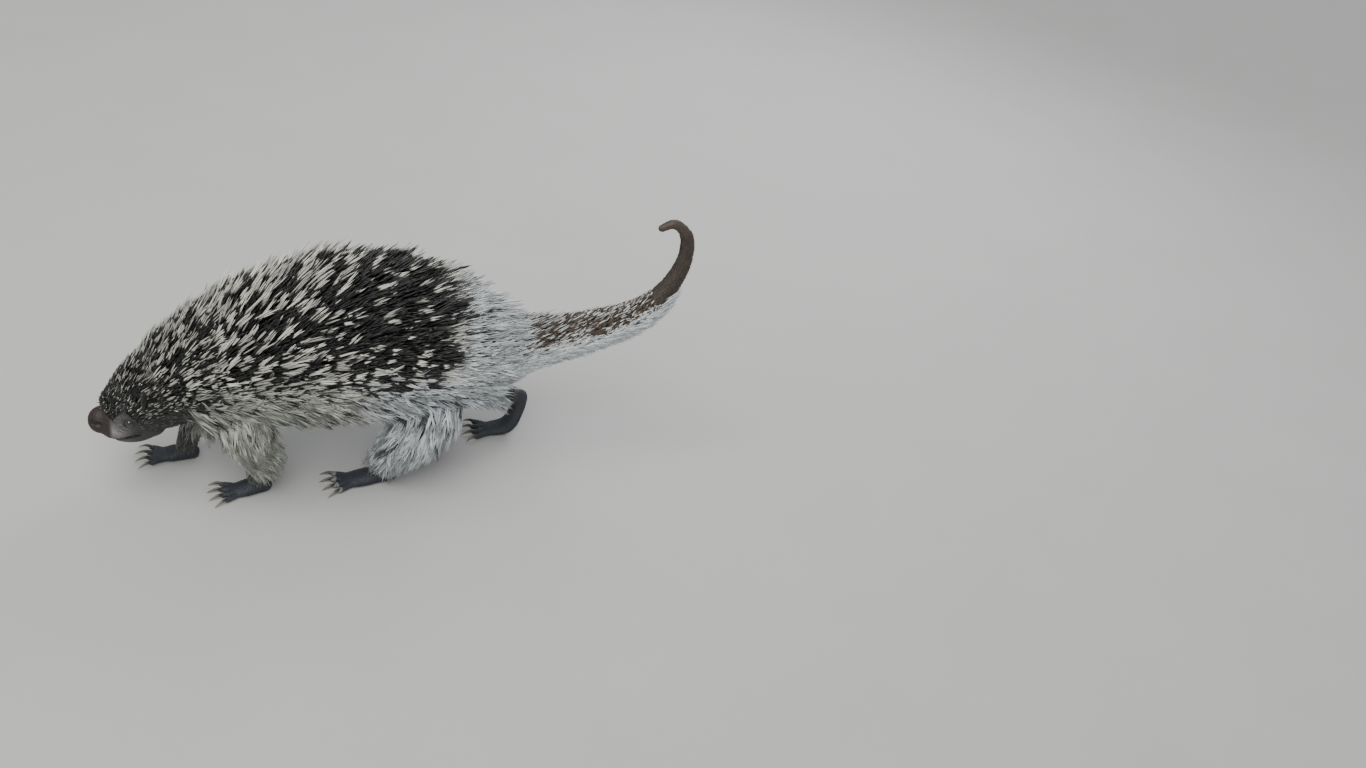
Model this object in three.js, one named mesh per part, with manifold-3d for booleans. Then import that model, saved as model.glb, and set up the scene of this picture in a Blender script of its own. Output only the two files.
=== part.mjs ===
// A prehensile-tailed porcupine walking, as a still life-size model.
// Millimetres, +Z up, the floor at z = 0, the head towards -X and the left side towards -Y.
import * as THREE from "three";
import { mergeVertices } from "three/addons/utils/BufferGeometryUtils.js";
import Module from "manifold-3d";

const wasm = await Module();
wasm.setup();

// Driving dimensions
const GAP = 0.3; // clearance between touching pieces
const TRUNK_SHIFT = -24.4; // moves the whole animal so that its box is centred on the origin
const SIDES = 20; // sides of a trunk section
const RING_STEP = 15; // distance between trunk sections
const LEG_SIDES = 14;
const LEG_RINGS = 9;
const EYE_RADIUS = 5;
const EAR_HEIGHT = 13;
const TOES = 4;
const TOE_LENGTH = 18;
const TOE_SPREAD = 0.4; // radians from the middle of the foot to an outer toe
const CLAW_LENGTH = 15;
const CLAW_RADIUS = 2.4;
const CORE = 0.35; // share of the coat that is solid under the quills
const QUILL_RADIUS = 1.45; // at the skin, on the trunk
const QUILL_LEAN = 0.16; // most that a quill leans to either side
const QUILL_SUNK = 5; // length of a quill's root inside the core
const QUILL_CLEARANCE = 6; // bare margin at the ends of a length that carries quills
const BODY_CLEARANCE = 3; // between a quill and a limb that it doesn't grow from
const SEED = 20;

// Stations of the centre line, nose to tail: x, z, half width, half height, height of the coat above the skin
const TRUNK = [
  [-335.5, 100, 15.5, 17.5, 0.5],
  [-330, 99.8, 20, 22, 1],
  [-323.5, 99.6, 22.5, 25, 1],
  [-316.5, 101.5, 25, 27, 2],
  [-308, 110, 29.5, 33, 6],
  [-298, 118, 33, 37.5, 10],
  [-285, 127, 37, 41.5, 15],
  [-268, 136.5, 41, 45.5, 20],
  [-249.5, 147, 48.5, 50.5, 24],
  [-225, 156, 60, 60, 26],
  [-188, 166, 72, 73, 28],
  [-130, 183, 84, 85, 30],
  [-60, 190, 89, 92, 30],
  [13, 185, 86, 88, 30],
  [63, 174, 78, 80, 29],
  [105, 165, 62, 63, 27],
  [146, 165, 41, 41, 20],
  [180, 171, 30, 30, 14],
  [218, 178, 25, 24, 10],
  [281, 192, 21, 20, 8],
  [344, 218, 16.5, 16, 5],
  [376, 257, 12, 12, 1.5],
  [389, 298, 9.5, 9.5, 0.5],
  [384, 333, 8, 8, 0.5],
  [364, 350, 6.5, 6.5, 0.5],
  [347, 344, 5, 5, 0.5],
];
// Where the trunk is parted, counted in stations
const NOSE_END = 1.5;
const HEAD_END = 7.2;
const NECK_END = 9.3;
const TORSO_END = 15.8;
const TAIL_BASE_END = 18.4;
const TAIL_MIDDLE_END = 20.3;
const LAST = TRUNK.length - 1;

const AXIS_Y = new THREE.Vector3(0, 1, 0);

// A tapering limb along smooth curves through its stations of x, y, z, half width, half height, coat
class Limb {
  constructor(stations) {
    this.last = stations.length - 1;
    this.line = new THREE.CatmullRomCurve3(stations.map((s) => new THREE.Vector3(s[0], s[1], s[2])));
    this.size = new THREE.CatmullRomCurve3(stations.map((s) => new THREE.Vector3(s[3], s[4], s[5] ?? 0)));
  }

  at(index) {
    const t = THREE.MathUtils.clamp(index / this.last, 0, 1);
    const centre = this.line.getPoint(t);
    const along = this.line.getTangent(t).normalize();
    const side = AXIS_Y.clone().addScaledVector(along, -AXIS_Y.dot(along)).normalize();
    const up = along.clone().cross(side);
    const size = this.size.getPoint(t);
    return { centre, along, side, up, width: size.x, height: size.y, coat: size.z };
  }

  // The share of the coat that stands at an angle from the top: full above, short under the belly
  static coatShare(angle) {
    return 0.62 + 0.38 * Math.cos(angle);
  }

  // A point of the surface, at an angle from the top towards +Y, with a share of the coat and a growth
  surface(index, angle, coatShare = 0, grow = 0) {
    const s = this.at(index);
    const extra = grow + coatShare * s.coat * Limb.coatShare(angle);
    return s.centre
      .clone()
      .addScaledVector(s.side, (s.width + extra) * Math.sin(angle))
      .addScaledVector(s.up, (s.height + extra) * Math.cos(angle));
  }

  // Outward direction of the surface, from its own neighbours
  normal(index, angle) {
    const e = 0.05;
    const along = this.surface(index + e, angle).sub(this.surface(index - e, angle));
    const around = this.surface(index, angle + e).sub(this.surface(index, angle - e));
    return along.cross(around).normalize();
  }
}

// A closed surface from rings of points, each end a fan about its own middle
function closedLoft(rings) {
  const sides = rings[0].length;
  const points = rings.flat();
  const middle = (ring) => ring.reduce((a, p) => a.add(p), new THREE.Vector3()).divideScalar(sides);
  const first = points.push(middle(rings[0])) - 1;
  const lastPoint = points.push(middle(rings.at(-1))) - 1;
  const index = [];
  for (let j = 0; j < sides; j++) {
    const k = (j + 1) % sides;
    for (let i = 0; i + 1 < rings.length; i++) {
      const a = i * sides + j;
      const b = i * sides + k;
      index.push(a, a + sides, b, b, a + sides, b + sides);
    }
    const end = (rings.length - 1) * sides;
    index.push(first, j, k, lastPoint, end + k, end + j);
  }
  return new THREE.BufferGeometry().setFromPoints(points).setIndex(index);
}

// A length of a limb from one station to another, with flat or rounded ends
function limbLength(limb, from, to, { sides = SIDES, rings = 8, coat = 0, grow = 0, round = [0, 0] } = {}) {
  const indices = Array.from({ length: rings + 1 }, (_, i) => from + ((to - from) * i) / rings);
  const angles = Array.from({ length: sides }, (_, j) => (j / sides) * Math.PI * 2);
  const made = indices.map((i) => angles.map((a) => limb.surface(i, a, coat, grow)));
  const domed = (index, sign) => {
    const s = limb.at(index);
    const reach = sign * Math.min(s.width, s.height);
    return [0.5, 0.87].map((sine) =>
      angles.map((a) =>
        limb
          .surface(index, a, coat, grow)
          .sub(s.centre)
          .multiplyScalar(Math.sqrt(1 - sine * sine))
          .add(s.centre)
          .addScaledVector(s.along, (reach + sign * grow) * sine),
      ),
    );
  };
  if (round[0]) made.unshift(...domed(from, -1).reverse());
  if (round[1]) made.push(...domed(to, 1));
  return closedLoft(made);
}

// Between geometries and solids
function solid(geometry) {
  const bare = geometry.clone();
  bare.deleteAttribute("normal");
  bare.deleteAttribute("uv");
  const merged = mergeVertices(bare, 1e-4);
  return new wasm.Manifold(
    new wasm.Mesh({
      numProp: 3,
      vertProperties: merged.attributes.position.array,
      triVerts: new Uint32Array(merged.index.array),
    }),
  );
}

function geometryOf(made) {
  const mesh = made.getMesh();
  return new THREE.BufferGeometry()
    .setAttribute("position", new THREE.BufferAttribute(mesh.vertProperties, 3))
    .setIndex(new THREE.BufferAttribute(mesh.triVerts, 1));
}

const largest = (made) => made.decompose().reduce((a, b) => (b.volume() > a.volume() ? b : a));
const join = (solids) => solids.reduce((a, b) => a.add(b));

// A ball stretched along three axes
function ellipsoid(centre, radii, detail = [12, 8], turn = [0, 0, 0]) {
  const ball = new THREE.SphereGeometry(1, ...detail);
  ball.scale(...radii);
  ball.rotateX(turn[0]).rotateY(turn[1]).rotateZ(turn[2]);
  ball.translate(centre.x, centre.y, centre.z);
  return solid(ball);
}

function box(low, high) {
  const size = high.map((v, i) => v - low[i]);
  const block = new THREE.BoxGeometry(...size);
  block.translate(...low.map((v, i) => v + size[i] / 2));
  return solid(block);
}

const FLOOR = box([-600, -300, -60], [600, 300, 0]);

// Trunk: the lengths from nose to tail, parted by thin plane gaps
const trunk = new Limb(TRUNK.map(([x, z, w, h, coat]) => [x, 0, z, w, h, coat]));

const reachBetween = (limb, a, b) => limb.at(a).centre.distanceTo(limb.at(b).centre);
// The part of a station that a distance in millimetres spans at an index
const shareOf = (limb, index, distance) => (distance * 0.1) / reachBetween(limb, index - 0.05, index + 0.05);

function trunkLength(from, to, { coat = CORE, grow = 0, round = [0, 0] } = {}) {
  const inset = (index) => shareOf(trunk, index, GAP / 2 - grow);
  return solid(
    limbLength(trunk, from + (round[0] ? 0 : inset(from)), to - (round[1] ? 0 : inset(to)), {
      rings: Math.max(3, Math.round(reachBetween(trunk, from, to) / RING_STEP)),
      coat,
      grow,
      round,
    }),
  );
}

// Legs: stations of x, y, z, half width, half depth, coat; each runs from inside the body to the foot
const LEGS = {
  foreleg_left: {
    stations: [
      [-176, -34, 150, 30, 34, 12],
      [-180, -56, 112, 24, 28, 10],
      [-166, -56, 74, 17, 19, 7],
      [-160, -45, 42, 12, 13, 4],
      [-159, -40, 18, 10.5, 11.5, 1],
    ],
    foot: { name: "forefoot_left", heel: [-150, -39], toe: [-186, -42], width: 13, height: 11 },
  },
  foreleg_right: {
    stations: [
      [-180, 34, 150, 30, 34, 12],
      [-194, 56, 112, 24, 28, 10],
      [-212, 54, 76, 17, 19, 7],
      [-230, 44, 42, 12, 13, 4],
      [-237, 39, 18, 10.5, 11.5, 1],
    ],
    foot: { name: "forefoot_right", heel: [-229, 39], toe: [-265, 42], width: 13, height: 11 },
  },
  hindleg_left: {
    stations: [
      [62, -32, 146, 38, 44, 16],
      [40, -56, 108, 31, 36, 15],
      [14, -58, 72, 22, 23, 10],
      [0, -46, 40, 14, 15, 5],
      [-1, -40, 18, 11, 12.5, 1],
    ],
    foot: { name: "hindfoot_left", heel: [10, -39], toe: [-48, -43], width: 14.5, height: 11 },
  },
  hindleg_right: {
    stations: [
      [70, 32, 146, 38, 44, 16],
      [92, 52, 108, 30, 34, 15],
      [128, 50, 84, 21, 21, 10],
      [162, 40, 70, 14, 14, 5],
      [188, 36, 64, 11, 11.5, 1],
    ],
    foot: { name: "hindfoot_right", heel: [192, 36], toe: [158, 40], width: 14.5, height: 11, lift: 62 },
  },
};

const KNEE = 2; // station where a hind leg is parted into thigh and shin
const legLimbs = Object.fromEntries(
  Object.entries(LEGS).map(([name, leg]) => [name, new Limb(leg.stations)]),
);
const legCoat = (name) => (name.startsWith("hindleg") ? CORE : 1);

function legSolid(name, { from = 0, to = legLimbs[name].last, grow = 0 } = {}) {
  const rings = Math.round((LEG_RINGS * (to - from)) / legLimbs[name].last);
  return solid(limbLength(legLimbs[name], from, to, { sides: LEG_SIDES, rings, coat: legCoat(name), grow }));
}

// A foot: a flat-soled pad from heel to toes, with its toes; lift is the height of a raised heel
function footLimb({ heel, toe, width, height, lift = 0 }) {
  const [hx, hy] = heel;
  const [tx, ty] = toe;
  const along = (share, z, w, h) => [hx + (tx - hx) * share, hy + (ty - hy) * share, z, w, h];
  if (!lift)
    return new Limb([
      along(0, height * 0.75, width * 0.72, height * 0.8),
      along(0.3, height * 0.8, width * 0.82, height),
      along(0.7, height * 0.6, width, height * 0.82),
      along(1, height * 0.45, width * 0.92, height * 0.6),
    ]);
  return new Limb([
    along(-0.28, lift, width * 0.72, height * 0.85),
    along(-0.16, lift * 0.62, width * 0.8, height * 0.9),
    along(0.14, lift * 0.22, width * 0.95, height * 0.85),
    along(1, height * 0.42, width * 0.92, height * 0.58),
  ]);
}

function toePlaces({ heel, toe, width, height }) {
  const ahead = new THREE.Vector3(toe[0] - heel[0], toe[1] - heel[1], 0).normalize();
  const across = new THREE.Vector3(-ahead.y, ahead.x, 0);
  const end = new THREE.Vector3(toe[0], toe[1], 0);
  return Array.from({ length: TOES }, (_, i) => {
    const place = (i / (TOES - 1)) * 2 - 1;
    const turn = TOE_SPREAD * place;
    const way = ahead.clone().multiplyScalar(Math.cos(turn)).addScaledVector(across, Math.sin(turn));
    const root = end.clone().addScaledVector(across, place * width * 0.78);
    const length = TOE_LENGTH - 3 * Math.abs(place);
    return { root, way, length, radius: width * 0.27, height: height * 0.42 };
  });
}

function toeLimb({ root, way, length, radius, height }, grow = 0) {
  const at = (reach, z, r) => [root.x + way.x * reach, root.y + way.y * reach, z, r, r];
  const knuckle = at(length * 0.4, height * 1.15, radius);
  const limb = new Limb([at(-10, height, radius), knuckle, at(length, height, radius)]);
  return solid(limbLength(limb, 0, 2, { sides: 8, rings: 3, grow, round: [0, 1] }));
}

function clawSolid({ root, way, length, radius, height }) {
  const reach = length + radius * 0.5;
  const at = (d, z, r) => [root.x + way.x * (reach + d), root.y + way.y * (reach + d), z, r * 0.8, r];
  const limb = new Limb([
    at(0, height + 1, CLAW_RADIUS),
    at(CLAW_LENGTH * 0.4, height + 1.6, CLAW_RADIUS * 0.85),
    at(CLAW_LENGTH * 0.75, height * 0.8, CLAW_RADIUS * 0.6),
    at(CLAW_LENGTH, 1.2, 0.3),
  ]);
  return solid(limbLength(limb, 0, 3, { sides: 6, rings: 4 }));
}

function footSolid(foot, grow = 0) {
  const limb = footLimb(foot);
  const pad = solid(limbLength(limb, 0, limb.last, { sides: 12, rings: 6, grow, round: [1, 1] }));
  const toes = toePlaces(foot).map((t) => toeLimb(t, grow));
  return largest(join([pad, ...toes]).subtract(FLOOR));
}

// Head: a muzzle with a big soft nose, a small mouth set under it, eyes with lids, and cupped ears
const EYE_STATION = 4.33;
const EYE_ANGLE = 1.52;
const EAR_STATION = 6.6;
const EAR_ANGLE = 1.02;
const sides = { left: -1, right: 1 };

function eyeCentre(sign) {
  const angle = sign * EYE_ANGLE;
  const outward = trunk.normal(EYE_STATION, angle);
  return trunk.surface(EYE_STATION, angle, 0.3).addScaledVector(outward, -EYE_RADIUS * 0.45);
}

function lids(sign) {
  const way = trunk.normal(EYE_STATION, sign * EYE_ANGLE);
  const ring = new THREE.TorusGeometry(EYE_RADIUS * 0.98, 1.5, 6, 16);
  ring.scale(1.12, 0.9, 1);
  ring.lookAt(way);
  const centre = eyeCentre(sign).addScaledVector(way, EYE_RADIUS * 0.42);
  ring.translate(centre.x, centre.y, centre.z);
  return solid(ring);
}

// The mouth: a low jaw under the muzzle, parted from it by a thin curved slit
const JAW = [
  [-324, 0, 82, 8, 4],
  [-318, 0, 78, 13, 7],
  [-309, 0, 78, 17, 9],
  [-296, 0, 83, 22, 14],
  [-280, 0, 95, 25, 20],
];
const MOUTH = [
  [-323, 0, 80.5, 18, 0.9],
  [-317, 0, 80, 21, 0.9],
  [-308, 0, 82, 25, 0.9],
  [-298, 0, 86, 28, 0.7],
];
const jaw = solid(limbLength(new Limb(JAW), 0, 4, { sides: 14, rings: 8, round: [1, 0] }));
const slit = solid(limbLength(new Limb(MOUTH), 0, 3, { sides: 10, rings: 6 }));

function earCup(sign) {
  const angle = sign * EAR_ANGLE;
  const root = trunk.surface(EAR_STATION, angle, 1);
  const out = trunk.normal(EAR_STATION, angle);
  const centre = root.clone().addScaledVector(out, EAR_HEIGHT * 0.12);
  const shell = ellipsoid(centre, [6, 10, EAR_HEIGHT], [14, 10], [-angle, 0.5, 0]);
  const hollowAt = centre.clone().add(new THREE.Vector3(-4.5, sign * 1.5, 1));
  const hollow = ellipsoid(hollowAt, [6, 8, EAR_HEIGHT * 0.86], [14, 10], [-angle, 0.5, 0]);
  return shell.subtract(hollow);
}

// Quills: tapered spines in staggered rows, each rooted in the core, leaning back along the body and
// reaching out to the coat's height; one that would touch another quill, an ear or a leg is left out
const THIGH_QUILLS = { from: 0.75, to: KNEE, apart: 15, low: 1.1, rise: 0.42 };
const QUILLS = {
  head: { limb: trunk, from: 4.8, to: HEAD_END, apart: 16, low: 1.75, rise: 0.62, radius: 1.1 },
  neck: { limb: trunk, from: HEAD_END, to: NECK_END, apart: 20, low: 1.85, rise: 0.66 },
  torso: { limb: trunk, from: NECK_END, to: TORSO_END, apart: 24, low: 1.95, rise: 0.64 },
  tail_base: { limb: trunk, from: TORSO_END, to: TAIL_BASE_END, apart: 17, low: 2.1, rise: 0.5 },
  tail_middle: { limb: trunk, from: TAIL_BASE_END, to: TAIL_MIDDLE_END, apart: 17, low: 2, rise: 0.4 },
  thigh_left: { ...THIGH_QUILLS, limb: legLimbs.hindleg_left, side: -1 },
  thigh_right: { ...THIGH_QUILLS, limb: legLimbs.hindleg_right, side: 1 },
};

// A repeatable draw between 0 and 1
const DRAW_FACTOR = 16807;
const DRAW_RANGE = 2 ** 31 - 1;
let drawn = SEED;
function draw() {
  drawn = (drawn * DRAW_FACTOR) % DRAW_RANGE;
  return drawn / DRAW_RANGE;
}
const between = (low, high) => low + (high - low) * draw();

function quillAt({ limb, rise, radius = QUILL_RADIUS }, index, angle) {
  const root = limb.surface(index, angle, CORE);
  const normal = limb.normal(index, angle);
  const ahead = limb.surface(index + 0.05, angle, CORE).sub(root).normalize();
  const across = normal.clone().cross(ahead);
  const lift = rise * between(0.85, 1.15);
  const lean = between(-QUILL_LEAN, QUILL_LEAN);
  const way = ahead
    .multiplyScalar(Math.cos(lift))
    .addScaledVector(normal, Math.sin(lift))
    .addScaledVector(across, lean)
    .normalize();
  const height = (1 - CORE) * limb.at(index).coat * Limb.coatShare(angle) * between(0.88, 1.05);
  const length = height / Math.sin(lift);
  return {
    root,
    start: root.clone().addScaledVector(way, -QUILL_SUNK),
    tip: root.clone().addScaledVector(way, length),
    way,
    length: length + QUILL_SUNK,
    radius: radius * between(0.9, 1.1),
  };
}

const STEPS_A_STATION = 5;
// Whether a point lies within a margin of a limb's core
function nearLimb(limb, point, margin, coat) {
  const steps = limb.last * STEPS_A_STATION;
  return Array.from({ length: steps + 1 }, (_, i) => limb.at((i * limb.last) / steps)).some((s) => {
    const out = point.clone().sub(s.centre);
    const beside = out.dot(s.side) / (s.width + coat * s.coat + margin);
    const above = out.dot(s.up) / (s.height + coat * s.coat + margin);
    const along = out.dot(s.along) / Math.min(s.width, s.height);
    return beside * beside + above * above + along * along < 1;
  });
}

const quills = [];
const shortest = new THREE.Vector3();
const nearest = new THREE.Vector3();
function clearOfQuills(quill) {
  const line = new THREE.Line3(quill.start, quill.tip);
  return quills.every((other) => {
    const beside = new THREE.Line3(other.start, other.tip);
    const apart = Math.sqrt(line.distanceSqToLine3(beside, shortest, nearest));
    return apart > quill.radius + other.radius + GAP;
  });
}

const TESTED_SHARES = [0.3, 0.55, 0.8, 1]; // places along a quill, from root to tip
function clearOfBody(quill, limb) {
  const points = TESTED_SHARES.map((share) => quill.root.clone().lerp(quill.tip, share));
  const others = Object.entries(legLimbs).filter(([, leg]) => leg !== limb);
  const clearOf = (other, coat) => points.every((p) => !nearLimb(other, p, BODY_CLEARANCE, coat));
  const legsClear = others.every(([legName, leg]) => clearOf(leg, legCoat(legName)));
  const trunkClear = limb === trunk || clearOf(trunk, CORE);
  const earsClear = Object.values(sides).every((sign) => {
    const ear = trunk.surface(EAR_STATION, sign * EAR_ANGLE, CORE);
    return [quill.root, ...points].every((p) => p.distanceTo(ear) > EAR_HEIGHT);
  });
  return legsClear && trunkClear && earsClear;
}

function quillSolid({ start, way, length, radius }) {
  const spine = new THREE.ConeGeometry(radius, length, 3, 1);
  spine.translate(0, length / 2, 0);
  spine.applyQuaternion(new THREE.Quaternion().setFromUnitVectors(AXIS_Y, way));
  spine.translate(start.x, start.y, start.z);
  return solid(spine);
}

// The quills of one node, row by row along it
function quillsOf(name) {
  const plan = QUILLS[name];
  const { limb, from, to, apart, low, side } = plan;
  const margin = (index) => shareOf(limb, index, QUILL_CLEARANCE);
  const [first, last] = [from + margin(from), to - margin(to)];
  const rows = Math.max(1, Math.round(reachBetween(limb, first, last) / apart));
  const made = [];
  for (let row = 0; row <= rows; row++) {
    const rowIndex = first + ((last - first) * row) / rows;
    const s = limb.at(rowIndex);
    const middle = (side ?? 0) * (Math.PI / 2);
    const half = Math.max(1, Math.round((low * (s.width + s.height)) / 2 / apart));
    for (let place = -half; place <= half; place++) {
      const stagger = row % 2 ? 0.5 : 0;
      const angle = middle + ((place + stagger + between(-0.2, 0.2)) * low) / half;
      const index = THREE.MathUtils.clamp(rowIndex + between(-0.3, 0.3) * margin(rowIndex), first, last);
      const quill = quillAt(plan, index, angle);
      if (!clearOfQuills(quill) || !clearOfBody(quill, limb)) continue;
      quills.push(quill);
      made.push(quillSolid(quill));
    }
  }
  return wasm.Manifold.union(made);
}

const nodes = new Map();
const noseGrown = trunkLength(0, NOSE_END, { grow: GAP, round: [1, 0] });
const headCore = trunkLength(NOSE_END, HEAD_END);
const headGrown = trunkLength(NOSE_END, HEAD_END, { grow: GAP });

let head = join([headCore, jaw.subtract(noseGrown)]);
for (const sign of Object.values(sides)) {
  head = head.add(lids(sign)).subtract(ellipsoid(eyeCentre(sign), Array(3).fill(EYE_RADIUS + GAP), [16, 10]));
}
head = head.subtract(slit);

let nose = trunkLength(0, NOSE_END, { round: [1, 0] });
for (const sign of Object.values(sides)) {
  const nostril = new THREE.Vector3(-347.5, sign * 9.5, 102);
  nose = nose.subtract(ellipsoid(nostril, [9, 2.8, 4.6], [10, 8], [0, 0, sign * -0.45]));
}
nose = nose.subtract(slit);

nodes.set("nose", nose);
for (const [side, sign] of Object.entries(sides)) {
  nodes.set(`eye_${side}`, ellipsoid(eyeCentre(sign), Array(3).fill(EYE_RADIUS), [14, 10]));
  nodes.set(`ear_${side}`, largest(earCup(sign).subtract(headGrown)));
}

// Each length of the trunk with its quills, cut clear of the lengths beside it
const LENGTHS = {
  head: [NOSE_END, HEAD_END],
  neck: [HEAD_END, NECK_END],
  torso: [NECK_END, TORSO_END],
  tail_base: [TORSO_END, TAIL_BASE_END],
  tail_middle: [TAIL_BASE_END, TAIL_MIDDLE_END],
  tail_tip: [TAIL_MIDDLE_END, LAST],
};
const grownLengths = Object.fromEntries(
  Object.entries(LENGTHS).map(([name, [from, to]]) => [
    name,
    trunkLength(from, to, { grow: GAP, round: [0, name === "tail_tip" ? 1 : 0] }),
  ]),
);
for (const [name, [from, to]] of Object.entries(LENGTHS)) {
  const core = name === "head" ? head : trunkLength(from, to, { round: [0, name === "tail_tip" ? 1 : 0] });
  if (!(name in QUILLS)) {
    nodes.set(name, core);
    continue;
  }
  const others = Object.keys(LENGTHS).filter((other) => other !== name);
  const clear = others.reduce((made, other) => made.subtract(grownLengths[other]), quillsOf(name));
  nodes.set(name, largest(core.add(clear)));
}

const bodyGrown = join([grownLengths.neck, grownLengths.torso, grownLengths.tail_base]);
for (const [name, leg] of Object.entries(LEGS)) {
  const { foot } = leg;
  const cleared = (made) => made.subtract(bodyGrown).subtract(footSolid(foot, GAP)).subtract(FLOOR);
  if (name.startsWith("hindleg")) {
    const side = name.slice("hindleg_".length);
    const half = shareOf(legLimbs[name], KNEE, GAP / 2);
    const thigh = legSolid(name, { to: KNEE - half });
    const shinGrown = legSolid(name, { from: KNEE - half, grow: GAP });
    nodes.set(`thigh_${side}`, largest(cleared(thigh.add(quillsOf(`thigh_${side}`).subtract(shinGrown)))));
    nodes.set(`shin_${side}`, largest(cleared(legSolid(name, { from: KNEE + half }))));
  } else {
    nodes.set(name, largest(cleared(legSolid(name))));
  }
  nodes.set(foot.name, footSolid(foot));
  toePlaces(foot).forEach((toe, i) => {
    const claw = clawSolid(toe).subtract(toeLimb(toe, GAP)).subtract(FLOOR);
    nodes.set(`claw_${foot.name}_${i + 1}`, largest(claw));
  });
}

const MATERIALS = {
  coat: new THREE.MeshStandardMaterial({ color: 0x4a4a47, roughness: 0.8 }),
  skin: new THREE.MeshStandardMaterial({ color: 0x5a4640, roughness: 0.65 }),
  eye: new THREE.MeshStandardMaterial({ color: 0x0c0a09, roughness: 0.1 }),
  claw: new THREE.MeshStandardMaterial({ color: 0x3a332c, roughness: 0.4 }),
};
const SKIN_NODES = /^(nose|ear_|tail_tip|forefoot|hindfoot)/;
const materialFor = (name) => {
  if (name.startsWith("eye")) return MATERIALS.eye;
  if (name.startsWith("claw")) return MATERIALS.claw;
  return SKIN_NODES.test(name) ? MATERIALS.skin : MATERIALS.coat;
};

const porcupine = new THREE.Group();
for (const [name, made] of nodes) {
  const mesh = new THREE.Mesh(geometryOf(made), materialFor(name));
  mesh.name = name;
  porcupine.add(mesh);
}
porcupine.position.x = TRUNK_SHIFT;

export default porcupine;
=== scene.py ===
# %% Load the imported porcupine
import bpy
import bmesh
import numpy as np
from math import pi, radians
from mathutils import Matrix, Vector


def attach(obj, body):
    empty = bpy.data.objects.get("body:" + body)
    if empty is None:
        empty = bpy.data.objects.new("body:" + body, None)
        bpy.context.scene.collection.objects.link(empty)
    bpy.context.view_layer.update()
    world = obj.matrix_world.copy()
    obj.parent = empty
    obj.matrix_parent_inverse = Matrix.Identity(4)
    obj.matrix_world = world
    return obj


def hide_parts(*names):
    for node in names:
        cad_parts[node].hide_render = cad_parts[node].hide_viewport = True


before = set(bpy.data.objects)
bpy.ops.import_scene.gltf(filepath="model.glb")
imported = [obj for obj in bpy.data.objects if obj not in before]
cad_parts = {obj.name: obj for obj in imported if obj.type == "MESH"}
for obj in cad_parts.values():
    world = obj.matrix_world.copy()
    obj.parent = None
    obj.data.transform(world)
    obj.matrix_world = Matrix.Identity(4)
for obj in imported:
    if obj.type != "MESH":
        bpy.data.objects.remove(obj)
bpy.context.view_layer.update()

ROOT = "root"
print("solids:", len(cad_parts))

# %% [markdown]
# # The camera, the floor and the light
# The animal is seen from above and from its left, a little from the front. The camera stands where a
# person's eyes would be. Soft area lights from both sides keep the dark quills readable, and the key
# comes from above and behind, so that each pale tip catches it.

# %% Camera, floor and lights
CAMERA_PLACE = (-0.3789, -1.4433, 1.1940)
CAMERA_TURN = (55.396, -10.443, -21.326)
LENS = 36.75
FLOOR_SIZE = 60.0

camera = bpy.data.objects.new("camera", bpy.data.cameras.new("camera"))
bpy.context.collection.objects.link(camera)
camera.location = CAMERA_PLACE
camera.rotation_euler = [radians(a) for a in CAMERA_TURN]
camera.data.lens = LENS
camera.data.sensor_width = 36
bpy.context.scene.camera = camera


def mesh_object(name, points, faces):
    mesh = bpy.data.meshes.new(name)
    mesh.from_pydata(points, [], faces)
    made = bpy.data.objects.new(name, mesh)
    bpy.context.collection.objects.link(made)
    return made


half = FLOOR_SIZE / 2
floor = mesh_object("floor", [(-half, -half, 0), (half, -half, 0), (half, half, 0), (-half, half, 0)],
                    [(0, 1, 2, 3)])


def area_light(name, place, aim, size, power, colour):
    light = bpy.data.lights.new(name, "AREA")
    light.size = size
    light.energy = power
    light.color = colour
    holder = bpy.data.objects.new(name, light)
    holder.location = place
    holder.rotation_euler = (Vector(aim) - Vector(place)).to_track_quat("-Z", "Y").to_euler()
    bpy.context.collection.objects.link(holder)


MIDDLE = (0, 0, 0.15)
area_light("key", (-0.9, -0.3, 2.2), MIDDLE, 1.4, 26, (1, 0.98, 0.95))
area_light("rim", (1.4, 1.2, 1.4), MIDDLE, 1.2, 16, (0.95, 0.98, 1))

# One wide, soft sun lights floor and animal evenly, as a studio's ceiling does
SUN_TILT = (38, 12, -35)
sun = bpy.data.lights.new("ceiling", "SUN")
sun.energy = 1.7
sun.angle = radians(35)
ceiling = bpy.data.objects.new("ceiling", sun)
ceiling.rotation_euler = [radians(a) for a in SUN_TILT]
bpy.context.collection.objects.link(ceiling)

world = bpy.data.worlds.new("studio")
world.use_nodes = True
world.node_tree.nodes["Background"].inputs["Color"].default_value = (0.75, 0.77, 0.8, 1)
world.node_tree.nodes["Background"].inputs["Strength"].default_value = 0.55
bpy.context.scene.world = world
print("camera at", tuple(round(v, 3) for v in camera.location))

# %% [markdown]
# # A body as limbs
# An animal's trunk, legs and toes are all tapering tubes. Each is given by a few stations along its
# centre line, with its half width, half height and the height of its coat. A smooth curve joins them.
# Both the skin and the roots of the quills are worked out from these same limbs, so they always agree.

# %% The limb and its curve
SHIFT = -24.4  # the trunk's stations are in millimetres, and this centres the whole animal
MM = 0.001


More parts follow.
